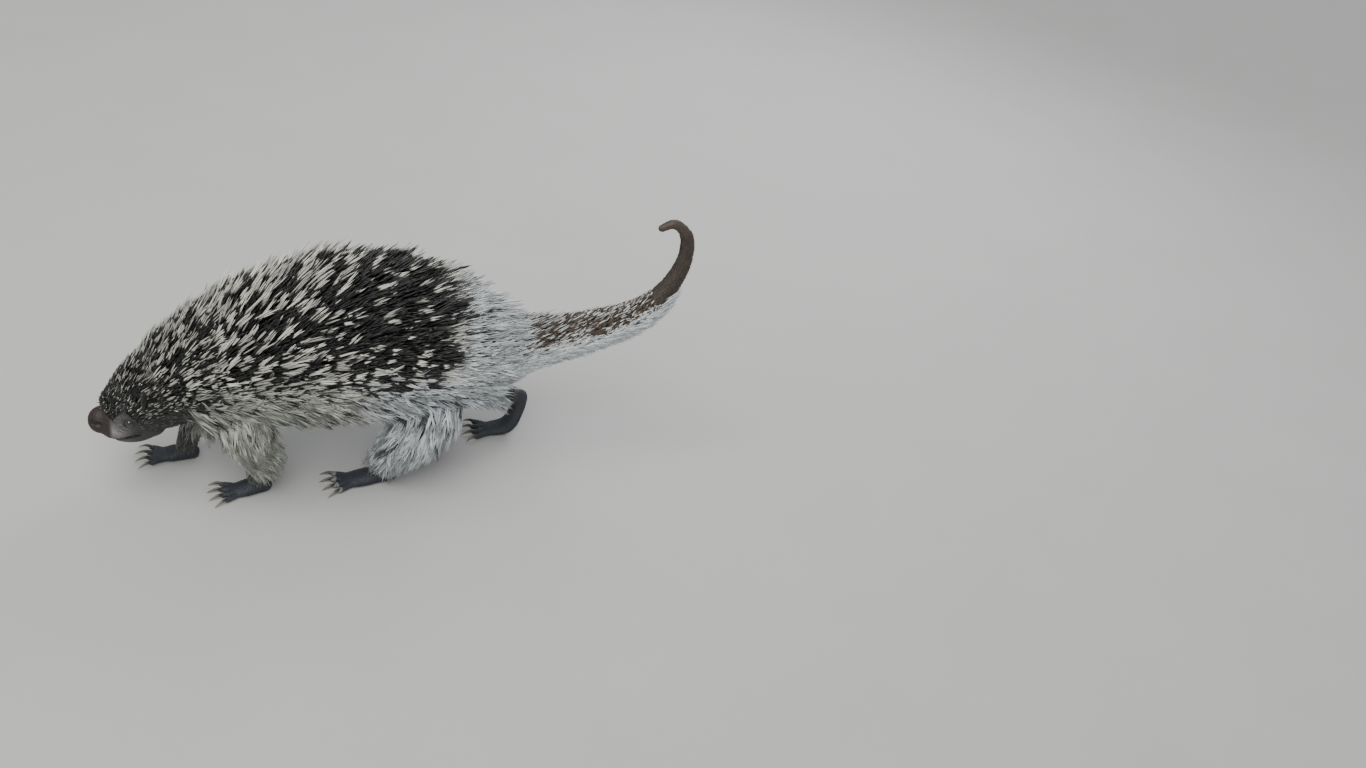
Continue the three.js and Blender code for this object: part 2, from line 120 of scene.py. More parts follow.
def smooth(stations, t):
    """Points of a centripetal curve through the stations, at places t counted in stations."""
    stations = np.asarray(stations, float)
    t = np.clip(np.asarray(t, float), 0, len(stations) - 1)
    padded = np.vstack([2 * stations[0] - stations[1], stations, 2 * stations[-1] - stations[-2]])
    k = np.minimum(t.astype(int), len(stations) - 2)
    u = (t - k)[:, None]
    p0, p1, p2, p3 = (padded[k + i] for i in range(4))
    root = lambda a, b: np.maximum(np.sqrt(np.linalg.norm(b - a, axis=1)), 1e-4)[:, None]
    d0, d1, d2 = root(p0, p1), root(p1, p2), root(p2, p3)
    m1 = ((p1 - p0) / d0 - (p2 - p0) / (d0 + d1) + (p2 - p1) / d1) * d1
    m2 = ((p2 - p1) / d1 - (p3 - p1) / (d1 + d2) + (p3 - p2) / d2) * d1
    return p1 + m1 * u + (-3 * p1 + 3 * p2 - 2 * m1 - m2) * u**2 + (2 * p1 - 2 * p2 + m1 + m2) * u**3


def unit(vectors):
    return vectors / np.maximum(np.linalg.norm(vectors, axis=-1, keepdims=True), 1e-12)


class Limb:
    def __init__(self, stations, steps=70):
        data = np.asarray(stations, float)
        self.line, self.size = data[:, :3], data[:, 3:6]
        self.last = len(data) - 1
        self.steps = np.linspace(0, self.last, steps)
        self.frames = self.at(self.steps)

    def at(self, t):
        t = np.atleast_1d(np.asarray(t, float))
        centre = smooth(self.line, t) + (SHIFT, 0, 0)
        along = unit(smooth(self.line, t + 0.02) - smooth(self.line, t - 0.02))
        side = unit(np.array([0, 1.0, 0]) - along * along[:, 1:2])
        up = np.cross(along, side)
        size = smooth(self.size, t)
        return {"centre": centre * MM, "along": along, "side": side, "up": up,
                "width": size[:, 0] * MM, "height": size[:, 1] * MM, "coat": np.maximum(size[:, 2], 0) * MM}

    @staticmethod
    def coat_share(angle):
        return 0.62 + 0.38 * np.cos(angle)

    def surface(self, t, angle, share=0.0):
        s = self.at(t)
        extra = share * s["coat"] * self.coat_share(angle)
        across = (s["width"] + extra) * np.sin(angle)
        over = (s["height"] + extra) * np.cos(angle)
        return s["centre"] + s["side"] * across[:, None] + s["up"] * over[:, None]

    def normal(self, t, angle):
        e = 0.03
        t, angle = np.asarray(t, float), np.asarray(angle, float)
        along = self.surface(t + e, angle) - self.surface(t - e, angle)
        around = self.surface(t, angle + e) - self.surface(t, angle - e)
        return unit(np.cross(along, around))


TRUNK = [
    (-335.5, 0, 100, 15.5, 17.5, 0.5), (-330, 0, 99.8, 20, 22, 1), (-323.5, 0, 99.6, 22.5, 25, 1),
    (-316.5, 0, 101.5, 25, 27, 2), (-308, 0, 110, 29.5, 33, 6), (-298, 0, 118, 33, 37.5, 10),
    (-285, 0, 127, 37, 41.5, 15), (-268, 0, 136.5, 41, 45.5, 20), (-249.5, 0, 147, 48.5, 50.5, 24),
    (-225, 0, 156, 60, 60, 26), (-188, 0, 166, 72, 73, 28), (-130, 0, 183, 84, 85, 30),
    (-60, 0, 190, 89, 92, 30), (13, 0, 185, 86, 88, 30), (63, 0, 174, 78, 80, 29),
    (105, 0, 165, 62, 63, 27), (146, 0, 165, 41, 41, 20), (180, 0, 171, 30, 30, 14),
    (218, 0, 178, 25, 24, 10), (281, 0, 192, 21, 20, 8), (344, 0, 218, 16.5, 16, 5),
    (376, 0, 257, 12, 12, 1.5), (389, 0, 298, 9.5, 9.5, 0.5), (384, 0, 333, 8, 8, 0.5),
    (364, 0, 350, 6.5, 6.5, 0.5), (347, 0, 344, 5, 5, 0.5),
]
LEGS = {
    "foreleg_left": [(-176, -34, 150, 30, 34, 12), (-180, -56, 112, 24, 28, 10), (-166, -56, 74, 17, 19, 7),
                     (-160, -45, 42, 12, 13, 4), (-159, -40, 18, 10.5, 11.5, 1)],
    "foreleg_right": [(-180, 34, 150, 30, 34, 12), (-194, 56, 112, 24, 28, 10), (-212, 54, 76, 17, 19, 7),
                      (-230, 44, 42, 12, 13, 4), (-237, 39, 18, 10.5, 11.5, 1)],
    "hindleg_left": [(62, -32, 146, 38, 44, 16), (40, -56, 108, 31, 36, 15), (14, -58, 72, 22, 23, 10),
                     (0, -46, 40, 14, 15, 5), (-1, -40, 18, 11, 12.5, 1)],
    "hindleg_right": [(70, 32, 146, 38, 44, 16), (92, 52, 108, 30, 34, 15), (128, 50, 84, 21, 21, 10),
                      (162, 40, 70, 14, 14, 5), (188, 36, 64, 11, 11.5, 1)],
}
# Each foot: heel, toe, half width, half height, height of a raised heel
FEET = {
    "forefoot_left": ((-150, -39), (-186, -42), 13, 11, 0),
    "forefoot_right": ((-229, 39), (-265, 42), 13, 11, 0),
    "hindfoot_left": ((10, -39), (-48, -43), 14.5, 11, 0),
    "hindfoot_right": ((192, 36), (158, 40), 14.5, 11, 62),
}
trunk = Limb(TRUNK, steps=220)
legs = {name: Limb(stations) for name, stations in LEGS.items()}
LIMBS = {"trunk": trunk, **legs}
print("limbs:", sorted(LIMBS))

# %% [markdown]
# # The feet
# A porcupine walks on flat, padded soles with four short toes. Each foot is one more limb, low and
# wide, and each toe a small one. The raised foot bends up steeply from the ball to the heel.

# %% Feet and toes as limbs
TOES = 4
TOE_LENGTH = 18
TOE_SPREAD = 0.4
CLAW_LENGTH = 15
CLAW_RADIUS = 2.4


def foot_limb(heel, toe, width, height, lift):
    heel, toe = np.array(heel, float), np.array(toe, float)

    def station(share, z, w, h):
        place = heel + (toe - heel) * share
        return (*place, z, w, h, 0.4)

    if lift:
        return Limb([station(-0.28, lift, width * 0.72, height * 0.85),
                     station(-0.16, lift * 0.62, width * 0.8, height * 0.9),
                     station(0.14, lift * 0.22, width * 0.95, height * 0.85),
                     station(1, height * 0.42, width * 0.92, height * 0.58)])
    return Limb([station(0, height * 0.75, width * 0.72, height * 0.8),
                 station(0.3, height * 0.8, width * 0.82, height),
                 station(0.7, height * 0.6, width, height * 0.82),
                 station(1, height * 0.45, width * 0.92, height * 0.6)])


def toes_of(heel, toe, width, height, lift):
    """For each toe: its root, the way it points, its length, its radius and its height off the floor."""
    heel, toe = np.array(heel, float), np.array(toe, float)
    ahead = (toe - heel) / np.linalg.norm(toe - heel)
    across = np.array([-ahead[1], ahead[0]])
    made = []
    for place in np.linspace(-1, 1, TOES):
        turn = TOE_SPREAD * place
        way = ahead * np.cos(turn) + across * np.sin(turn)
        root = toe + across * place * width * 0.78
        made.append((root, way, TOE_LENGTH - 3 * abs(place), width * 0.27, height * 0.42))
    return made


def toe_limb(root, way, length, radius, height):
    def station(reach, z):
        return (*(root + way * reach), z, radius, radius, 0.3)

    return Limb([station(-10, height), station(length * 0.4, height * 1.15), station(length, height)], steps=30)


feet = {name: foot_limb(*foot) for name, foot in FEET.items()}
LIMBS.update(feet)
print("feet:", sorted(feet))

# %% [markdown]
# # One skin
# The skin is first a handful of closed tubes that pass through one another: trunk, legs, feet, toes,
# jaw and ears. A voxel remesh then melts them into one surface with no seams, as skin is. A light
# smoothing takes the voxel steps away, and the face is divided once more for its finer forms.


# %% Closed tubes
def tube(limb, start=0.0, end=None, rings=40, sides=32, share=0.0, round_ends=(1, 1)):
    end = limb.last if end is None else end
    t = np.linspace(start, end, rings)
    angle = np.linspace(0, 2 * pi, sides, endpoint=False)
    loops = [limb.surface(np.full(sides, place), angle, share) for place in t]
    s = limb.at([start, end])

    def dome(which, sign):
        centre, along = s["centre"][which], s["along"][which]
        reach = sign * min(s["width"][which], s["height"][which])
        edge = loops[0 if which == 0 else -1]
        return [centre + (edge - centre) * np.sqrt(1 - sine**2) + along * reach * sine
                for sine in (0.3, 0.6, 0.85, 0.98)]

    if round_ends[0]:
        loops = dome(0, -1)[::-1] + loops
    if round_ends[1]:
        loops = loops + dome(1, 1)
    points = np.vstack(loops)
    faces = []
    for i in range(len(loops) - 1):
        for j in range(sides):
            k = (j + 1) % sides
            faces.append((i * sides + j, (i + 1) * sides + j, (i + 1) * sides + k, i * sides + k))
    faces.append(tuple(range(sides)))
    faces.append(tuple((len(loops) - 1) * sides + j for j in reversed(range(sides))))
    return points, faces


def joined(parts):
    points, faces, count = [], [], 0
    for p, f in parts:
        points.append(p)
        faces += [tuple(i + count for i in face) for face in f]
        count += len(p)
    return np.vstack(points), faces


def ellipsoid(centre, axes, rings=16, sides=24):
    """A closed ball with its three half axes as vectors."""
    polar = np.linspace(0, pi, rings + 1)[1:-1]
    turn = np.linspace(0, 2 * pi, sides, endpoint=False)
    grid = np.array([(np.sin(p) * np.cos(a), np.sin(p) * np.sin(a), np.cos(p)) for p in polar for a in turn])
    points = np.vstack([grid, (0, 0, 1), (0, 0, -1)]) @ np.array(axes) + centre
    faces = []
    for i in range(rings - 2):
        for j in range(sides):
            k = (j + 1) % sides
            faces.append((i * sides + j, (i + 1) * sides + j, (i + 1) * sides + k, i * sides + k))
    top, bottom = len(grid), len(grid) + 1
    last = (rings - 2) * sides
    faces += [(top, j, (j + 1) % sides) for j in range(sides)]
    faces += [(bottom, last + (j + 1) % sides, last + j) for j in range(sides)]
    return points, faces


# %% The face's own forms
EYE_RADIUS = 0.005
EYE_STATION, EYE_ANGLE = 4.33, 1.52
EAR_STATION, EAR_ANGLE = 6.6, 1.02
EAR_HEIGHT = 0.013
SIDES = {"left": -1, "right": 1}


def eye_place(sign):
    """The centre of an eye and the way it looks."""
    way = trunk.normal([EYE_STATION], np.array([sign * EYE_ANGLE]))[0]
    place = trunk.surface([EYE_STATION], np.array([sign * EYE_ANGLE]), 0.3)[0]
    return place - way * EYE_RADIUS * 0.45, way


def lid_ring(sign, sides=28, thick=0.0013):
    """The lids as a soft rim round an almond opening."""
    centre, way = eye_place(sign)
    centre = centre + way * EYE_RADIUS * 0.34
    forward = unit(np.cross(np.cross(way, [-1.0, 0, -0.35]), way))
    up = np.cross(way, forward)
    angle = np.linspace(0, 2 * pi, sides, endpoint=False)
    loops = []
    for a in angle:
        out = forward * np.cos(a) * 1.15 + up * np.sin(a) * 0.86
        middle = centre + out * EYE_RADIUS
        turn = np.linspace(0, 2 * pi, 8, endpoint=False)
        loops.append([middle + (unit(out) * np.cos(b) + way * np.sin(b)) * thick for b in turn])
    points = np.array(loops).reshape(-1, 3)
    faces = []
    for i in range(sides):
        for j in range(8):
            n, k = (i + 1) % sides, (j + 1) % 8
            faces.append((i * 8 + j, n * 8 + j, n * 8 + k, i * 8 + k))
    return points, faces


def ear_shell(sign):
    angle = np.array([sign * EAR_ANGLE])
    root = trunk.surface([EAR_STATION], angle, 0.5)[0]
    out = trunk.normal([EAR_STATION], angle)[0]
    back = unit(np.array([1.0, sign * 0.25, 0.1]))
    width = unit(np.cross(out, back))
    return ellipsoid(root + out * EAR_HEIGHT * 0.3, [back * 0.0034, width * 0.0098, out * EAR_HEIGHT])


JAW = Limb([(-324, 0, 82, 8, 4, 1), (-318, 0, 78, 13, 7, 1), (-309, 0, 78, 17, 9, 1), (-296, 0, 83, 22, 14, 1),
            (-280, 0, 95, 25, 20, 1)], steps=40)

parts = [tube(trunk, rings=170, sides=72), tube(JAW, rings=24)]
parts += [tube(leg) for leg in legs.values()]
parts += [tube(foot, rings=20, sides=28) for foot in feet.values()]
parts += [tube(toe_limb(*toe), rings=12, sides=14) for foot in FEET.values() for toe in toes_of(*foot)]
for sign in SIDES.values():
    parts += [lid_ring(sign), ear_shell(sign)]
print("tubes:", len(parts))

# %% Melt them into one skin
VOXEL = 0.0019
FACE_END = -0.300  # the face is finer in front of this, and the feet below the next
FOOT_TOP = 0.026
FLAT_SOLE = 0.0006

skin = mesh_object("skin", *joined(parts))
remesh = skin.modifiers.new("melt", "REMESH")
remesh.mode = "VOXEL"
remesh.voxel_size = VOXEL
remesh.use_smooth_shade = True
soften = skin.modifiers.new("soften", "SMOOTH")
soften.factor = 0.6
soften.iterations = 5
bpy.context.view_layer.update()
melted = bpy.data.meshes.new_from_object(skin.evaluated_get(bpy.context.evaluated_depsgraph_get()))
skin.modifiers.clear()
skin.data = melted

fine = bmesh.new()
fine.from_mesh(skin.data)
face_edges = [e for e in fine.edges
              if max(v.co.x for v in e.verts) < FACE_END or max(v.co.z for v in e.verts) < FOOT_TOP]
bmesh.ops.subdivide_edges(fine, edges=face_edges, cuts=1, use_grid_fill=True, smooth=0.3)
bmesh.ops.triangulate(fine, faces=[f for f in fine.faces if len(f.verts) > 4])
fine.to_mesh(skin.data)
fine.free()


def points_of(mesh):
    co = np.empty(len(mesh.vertices) * 3, np.float32)
    mesh.vertices.foreach_get("co", co)
    return co.reshape(-1, 3).astype(float)


print("skin faces:", len(skin.data.polygons))

# %% [markdown]
# # Nostrils, mouth and folds
# The last forms are pressed into the skin by moving its points: two comma-shaped nostrils, the split
# below them, the line of the mouth, the hollow of each ear and the fine wrinkles of the muzzle.


# %% Press the face's hollows in
def press(points, centre, radii, push, power=2.0):
    """Moves the points near a place by push, most in the middle of the hollow."""
    away = np.sum(((points - centre) / radii) ** 2, axis=1)
    weight = np.clip(1 - away, 0, 1) ** power
    return points + weight[:, None] * np.array(push)


FOOT_FOLD = 0.00032
TAIL_FOLD = 0.00022
NOSE_GRAIN = 0.00018
points = points_of(skin.data)
for sign in SIDES.values():
    nostril = np.array([-0.3725, sign * 0.0092, 0.102])
    points = press(points, nostril, (0.009, 0.0046, 0.006), (0.008, 0, 0), 1.0)
    points = press(points, nostril + (0.006, sign * 0.0055, 0.001), (0.008, 0.004, 0.004), (0.002, -sign * 0.003, 0), 1.0)
    ear_root = trunk.surface([EAR_STATION], np.array([sign * EAR_ANGLE]), 0.5)[0]
    ear_out = trunk.normal([EAR_STATION], np.array([sign * EAR_ANGLE]))[0]
    cup = ear_root + ear_out * EAR_HEIGHT * 0.75 + (-0.0035, 0, 0)
    points = press(points, cup, (0.0045, 0.008, 0.008), (0.0038, 0, 0), 1.0)
points = press(points, np.array([-0.373, 0, 0.09]), (0.012, 0.0016, 0.014), (0.0022, 0, 0), 1.0)
mouth = smooth(np.array([(-327, 0, 81), (-323, 0, 80.5), (-317, 0, 80), (-308, 0, 82), (-293, 0, 88)]) * MM,
               np.linspace(0, 4, 60)) + (SHIFT * MM, 0, 0)
mouth_z = np.interp(points[:, 0], mouth[:, 0], mouth[:, 2])
in_mouth = (points[:, 0] > mouth[0, 0]) & (points[:, 0] < mouth[-1, 0]) & (np.abs(points[:, 2] - mouth_z) < 0.0024)
depth = np.where(in_mouth, 1 - (np.abs(points[:, 2] - mouth_z) / 0.0024) ** 2, 0) * 0.0036
points[:, 1] -= np.sign(points[:, 1]) * np.minimum(depth, np.abs(points[:, 1]))
points[:, 0] += np.where(np.abs(points[:, 1]) < 0.008, depth, 0)
on_feet = (points[:, 2] < 0.03) | ((points[:, 0] > 0.12) & (points[:, 0] < 0.2) & (points[:, 1] > 0.015)
                                   & (points[:, 2] < 0.075))
folds = FOOT_FOLD * on_feet * (np.sin(2 * pi * points[:, 0] / 0.0034 + 2.2 * np.sin(points[:, 1] * 420))
                               + 0.6 * np.sin(points[:, 1] * 2100 + 3 * np.sin(points[:, 0] * 300)))
folds += TAIL_FOLD * (points[:, 0] > 0.30) * np.sin(2 * pi * (points[:, 2] + 0.35 * points[:, 0]) / 0.0042)
folds += NOSE_GRAIN * (points[:, 0] < -0.35) * np.sin(points[:, 1] * 2600) * np.sin(points[:, 2] * 2600)
normals = np.empty(len(points) * 3, np.float32)
skin.data.vertex_normals.foreach_get("vector", normals)
points += normals.reshape(-1, 3) * folds[:, None]
points[:, 2] = np.maximum(points[:, 2], FLAT_SOLE)
skin.data.vertices.foreach_set("co", points.astype(np.float32).ravel())
skin.data.update()
print("pressed points:", int(in_mouth.sum()))

# %% [markdown]
# # An unwrap that the coat can share
# Every point of the skin lies on some limb, at a place along it and an angle around it. Those two
# numbers are the unwrap: the trunk fills most of the square, and each leg and foot has a strip above.
# A quill's own patch then sits where its root is, so skin and coat take their colours from one map.


# %% Find the limb, place and angle of any point
def locate_on(limb, points):
    """Place along, angle around and nearness (1 on the skin) for points on one limb."""
    s = limb.frames
    nearest = np.empty(len(points), int)
    for first in range(0, len(points), 4000):
        block = points[first:first + 4000]
        gap = np.linalg.norm(block[:, None] - s["centre"][None], axis=2)
        nearest[first:first + 4000] = np.argmin(gap, axis=1)
    out = points - s["centre"][nearest]
    across, over = (out * s["side"][nearest]).sum(1), (out * s["up"][nearest]).sum(1)
    angle = np.arctan2(across / s["width"][nearest], over / s["height"][nearest])
    near = np.hypot(across / s["width"][nearest], over / s["height"][nearest])
    beyond = np.abs((out * s["along"][nearest]).sum(1)) / s["height"][nearest]
    return limb.steps[nearest], angle, np.abs(np.hypot(near, beyond) - 1)


NAMES = list(LIMBS)
STRIP_LOW, STRIP_HEIGHT = 0.66, 0.038


def unwrap(which, t, angle):
    """The square's coordinates for places on limbs; which counts the limbs in NAMES."""
    last = np.array([LIMBS[n].last for n in NAMES])[which]
    u = 0.01 + 0.97 * t / last
    turn = (angle / (2 * pi)) + 0.5
    on_trunk = which == 0
    v = np.where(on_trunk, 0.01 + 0.62 * turn, STRIP_LOW + (which - 1) * STRIP_HEIGHT + (STRIP_HEIGHT - 0.004) * turn)
    return np.stack([u, v], axis=1)


def locate(points):
    found = [locate_on(LIMBS[n], points) for n in NAMES]
    misfit = np.stack([f[2] for f in found])
    misfit[0] -= 0.02
    which = np.argmin(misfit, axis=0)
    rows = np.arange(len(points))
    return which, np.stack([f[0] for f in found])[which, rows], np.stack([f[1] for f in found])[which, rows]


mesh = skin.data
loop_vertex = np.empty(len(mesh.loops), np.int32)
mesh.loops.foreach_get("vertex_index", loop_vertex)
sizes = np.empty(len(mesh.polygons), np.int32)
mesh.polygons.foreach_get("loop_total", sizes)
middles = np.empty(len(mesh.polygons) * 3, np.float32)
mesh.polygons.foreach_get("center", middles)
face_limb, face_t, face_angle = locate(middles.reshape(-1, 3).astype(float))
loop_face = np.repeat(np.arange(len(sizes)), sizes)
uv = np.zeros((len(loop_vertex), 2))
for index, name in enumerate(NAMES):
    mine = face_limb[loop_face] == index
    vertices = np.unique(loop_vertex[mine])
    if not len(vertices):
        continue
    t, angle, _ = locate_on(LIMBS[name], points[vertices])
    slot_of = np.searchsorted(vertices, loop_vertex[mine])
    centre_angle = face_angle[loop_face[mine]]
    turn = angle[slot_of]
    turn = turn + 2 * pi * np.round((centre_angle - turn) / (2 * pi))
    uv[mine] = unwrap(np.full(mine.sum(), index), t[slot_of], turn)
skin.data.uv_layers.new(name="OFBake").data.foreach_set("uv", uv.astype(np.float32).ravel())
vertex_limb, vertex_t, vertex_angle = locate(points)
print("unwrapped loops:", len(uv))

# %% [markdown]
# # The markings
# Dark charcoal quills end in cream-white tips. Along the flank and over the rump the white takes over,
# with a cold tint, while a patch from the middle of the back to the hips stays nearly black. The
# muzzle is grey with a red-brown nose, the feet are blue-black, and the tail is white underneath. One
# function gives these colours for any place on the body, and skin, quills and hair all ask it.

# %% Colours of the body's regions
CHARCOAL = np.array([0.022, 0.022, 0.021])
CREAM = np.array([0.74, 0.72, 0.65])
COLD_WHITE = np.array([0.76, 0.81, 0.83])
GREEN_GREY = np.array([0.37, 0.385, 0.335])
BROWN = np.array([0.075, 0.055, 0.04])
MUZZLE = np.array([0.085, 0.078, 0.074])
NOSE_RED = np.array([0.024, 0.015, 0.013])
FOOT_BLUE = np.array([0.03, 0.034, 0.042])
PALE_PATCH = np.array([0.40, 0.38, 0.37])


def ramp(value, low, high):
    share = np.clip((value - low) / (high - low), 0, 1)
    return share * share * (3 - 2 * share)


def blend_colour(a, b, share):
    return a + (b - a) * np.asarray(share)[:, None]


def places(which, t, angle):
    """x along the trunk's stations in metres, how far round from the top, and whether on the trunk."""
    x = np.interp(t, trunk.steps, trunk.frames["centre"][:, 0]) - SHIFT * MM
    return np.where(which == 0, x, 0), np.abs(angle), which == 0


def ragged(x, round_):
    """The place along the animal, shifted to and fro around the body, so that no marking ends in a line."""
    return x + 0.011 * np.sin(9 * round_) + 0.007 * np.sin(23 * round_)


def dark_patch(x, round_):
    """The nearly black patch from the middle of the back to the hips."""
    x = ragged(x, round_)
    return ramp(x, -0.13, -0.05) * (1 - ramp(x, 0.015, 0.05)) * (1 - ramp(round_, 1.2, 1.6))


def pale_share(which, t, angle):
    """The share of a quill that is white, from its tip."""
    x, round_, on_trunk = places(which, t, angle)
    back = 0.34 + 0.16 * ramp(x, -0.257, -0.137)
    back = back * (1 - 0.5 * dark_patch(x, round_))
    round_ = round_ + 0.1 * np.sin(60 * x) + 0.06 * np.sin(150 * x)
    flank = ramp(round_, 1.35, 1.85) * ramp(x, -0.247, -0.157)
    chest = ramp(round_, 1.05, 1.5) * ramp(x, -0.267, -0.197) * (1 - ramp(x, -0.117, -0.037))
    x = ragged(x, round_)
    rump = ramp(x, 0.015, 0.05) * (1 - 0.6 * ramp(x, 0.085, 0.125) * (1 - ramp(round_, 0.9, 1.5)))
    under_tail = ramp(x, 0.163, 0.213) * ramp(round_, 1.45, 1.8)
    share = np.maximum.reduce([back, 0.8 * flank, 0.7 * chest, 0.82 * rump, 0.95 * under_tail])
    return np.where(on_trunk, share, 0.85)


def pale_colour(which, t, angle):
    x, round_, on_trunk = places(which, t, angle)
    colour = blend_colour(CREAM, GREEN_GREY * 1.35, ramp(round_, 1.1, 1.5) * (1 - ramp(x, -0.147, -0.047)))
    cold = np.maximum(0.75 * ramp(x, 0.02, 0.06), ramp(round_, 1.3, 1.7) * ramp(x, -0.107, -0.007))
    colour = blend_colour(colour, COLD_WHITE, cold)
    fore = np.char.find(np.array(NAMES)[which], "fore") >= 0
    leg = np.where(fore[:, None], GREEN_GREY * 1.5, COLD_WHITE)
    return np.where(on_trunk[:, None], colour, leg)


def shaft_colour(which, t, angle):
    x, round_, on_trunk = places(which, t, angle)
    tail = ramp(x, 0.09, 0.14)
    colour = blend_colour(np.tile(CHARCOAL, (len(x), 1)), BROWN, tail)
    return np.where(on_trunk[:, None], colour, CHARCOAL * 2)


def skin_colour(points, which, t, angle):
    x, round_, on_trunk = places(which, t, angle)
    colour = np.tile(CHARCOAL * 1.6, (len(points), 1))
    colour = blend_colour(colour, GREEN_GREY * 0.5, ramp(round_, 1.5, 2.2) * ramp(x, -0.26, -0.2) * on_trunk)
    face = 1 - ramp(points[:, 0], -0.336, -0.318)
    colour = blend_colour(colour, MUZZLE, face)
    patch = np.exp(-(((points[:, 0] + 0.342) / 0.009) ** 2 + ((points[:, 2] - 0.096) / 0.011) ** 2))
    colour = blend_colour(colour, PALE_PATCH, patch * on_trunk)
    colour = blend_colour(colour, NOSE_RED, 1 - ramp(points[:, 0], -0.3535, -0.3475))
    # Painted shade: the skin along the mouth's crease is darkened, as its shadow
    shaded_mouth_gap = np.abs(points[:, 2] - np.interp(points[:, 0], mouth[:, 0], mouth[:, 2], left=9, right=9))
    colour = blend_colour(colour, CHARCOAL * 0.6, (1 - ramp(shaded_mouth_gap, 0.0008, 0.0026)) * on_trunk)
    for sign in SIDES.values():
        gap = np.linalg.norm(points - eye_place(sign)[0], axis=1)
        colour = blend_colour(colour, CHARCOAL, 1 - ramp(gap, 0.006, 0.0105))
    tail_tip = ramp(points[:, 0], 0.288, 0.323)
    colour = blend_colour(colour, BROWN * 0.8, tail_tip)
    limb = np.array(NAMES)[which]
    on_foot = np.char.find(limb, "foot") >= 0
    colour = np.where(on_foot[:, None], FOOT_BLUE, colour)
    sole = on_foot & (points[:, 2] < 0.004)
    return np.where(sole[:, None], MUZZLE * 1.2, colour)


def paint(mesh, name, colours):
    layer = mesh.color_attributes.new(name=name, type="FLOAT_COLOR", domain="POINT")
    full = np.hstack([colours, np.ones((len(colours), 1))]).astype(np.float32)
    layer.data.foreach_set("color", full.ravel())


paint(skin.data, "tone", skin_colour(points, vertex_limb, vertex_t, vertex_angle))
print("painted points:", len(points))

# %% [markdown]
# # Finishes
# Skin, quills, hair and horn all vary a little from place to place, so one node group gives each a
# mottled colour, a roughness and a fine height, and every material feeds it its own scale and amounts.


# %% The shared variation group
def new_group(name, inputs, outputs):
    group = bpy.data.node_groups.new(name, "ShaderNodeTree")
    for label, kind, value in inputs:
        socket = group.interface.new_socket(name=label, in_out="INPUT", socket_type=kind)
        socket.default_value = value
    for label, kind in outputs:
        group.interface.new_socket(name=label, in_out="OUTPUT", socket_type=kind)
    return group, group.nodes.new("NodeGroupInput"), group.nodes.new("NodeGroupOutput")


variation, given, result = new_group(
    "surface variation",
    [("Colour", "NodeSocketColor", (0.5, 0.5, 0.5, 1)), ("Amount", "NodeSocketFloat", 0.3),
     ("Scale", "NodeSocketFloat", 300.0), ("Roughness", "NodeSocketFloat", 0.6)],
    [("Colour", "NodeSocketColor"), ("Roughness", "NodeSocketFloat"), ("Height", "NodeSocketFloat")])
link = variation.links.new
where = variation.nodes.new("ShaderNodeTexCoord")
mottle = variation.nodes.new("ShaderNodeTexNoise")
mottle.inputs["Detail"].default_value = 5
pores = variation.nodes.new("ShaderNodeTexVoronoi")
link(where.outputs["Object"], mottle.inputs["Vector"])
link(where.outputs["Object"], pores.inputs["Vector"])
link(given.outputs["Scale"], mottle.inputs["Scale"])
link(given.outputs["Scale"], pores.inputs["Scale"])
lighter = variation.nodes.new("ShaderNodeMapRange")
lighter.inputs["To Min"].default_value = 0.4
lighter.inputs["To Max"].default_value = 1.6
link(mottle.outputs["Fac"], lighter.inputs["Value"])
scaled = variation.nodes.new("ShaderNodeVectorMath")
scaled.operation = "SCALE"
link(given.outputs["Colour"], scaled.inputs[0])
link(lighter.outputs["Result"], scaled.inputs["Scale"])
mixed = variation.nodes.new("ShaderNodeMix")
mixed.data_type = "RGBA"
link(given.outputs["Amount"], mixed.inputs["Factor"])
link(given.outputs["Colour"], mixed.inputs["A"])
link(scaled.outputs["Vector"], mixed.inputs["B"])
link(mixed.outputs["Result"], result.inputs["Colour"])
rough = variation.nodes.new("ShaderNodeMath")
rough.operation = "MULTIPLY_ADD"
rough.inputs[1].default_value = 0.16
link(mottle.outputs["Fac"], rough.inputs[0])
link(given.outputs["Roughness"], rough.inputs[2])
link(rough.outputs["Value"], result.inputs["Roughness"])
height = variation.nodes.new("ShaderNodeMath")
height.operation = "ADD"
link(mottle.outputs["Fac"], height.inputs[0])
link(pores.outputs["Distance"], height.inputs[1])
link(height.outputs["Value"], result.inputs["Height"])
print("group:", variation.name)


# %% One material for each finish
def finish_of(name, amount, scale, roughness, bump=0.3, distance=0.0004, colour=None, coat=0.0, sheen=0.0):
    """A material whose colour comes from the painted tone, or is one colour."""
    material = bpy.data.materials.new(name)
    material.use_nodes = True
    nodes, links = material.node_tree.nodes, material.node_tree.links
    shader = nodes["Principled BSDF"]
    group = nodes.new("ShaderNodeGroup")
    group.node_tree = variation
    if colour is None:
        tone = nodes.new("ShaderNodeAttribute")
        tone.attribute_name = "tone"
        links.new(tone.outputs["Color"], group.inputs["Colour"])
    else:
        group.inputs["Colour"].default_value = (*colour, 1)
    group.inputs["Amount"].default_value = amount
    group.inputs["Scale"].default_value = scale
    group.inputs["Roughness"].default_value = roughness
    links.new(group.outputs["Colour"], shader.inputs["Base Color"])
    links.new(group.outputs["Roughness"], shader.inputs["Roughness"])
    relief = nodes.new("ShaderNodeBump")
    relief.inputs["Strength"].default_value = bump
    relief.inputs["Distance"].default_value = distance
    links.new(group.outputs["Height"], relief.inputs["Height"])
    links.new(relief.outputs["Normal"], shader.inputs["Normal"])
    shader.inputs["Coat Weight"].default_value = coat
    shader.inputs["Sheen Weight"].default_value = sheen
    return material


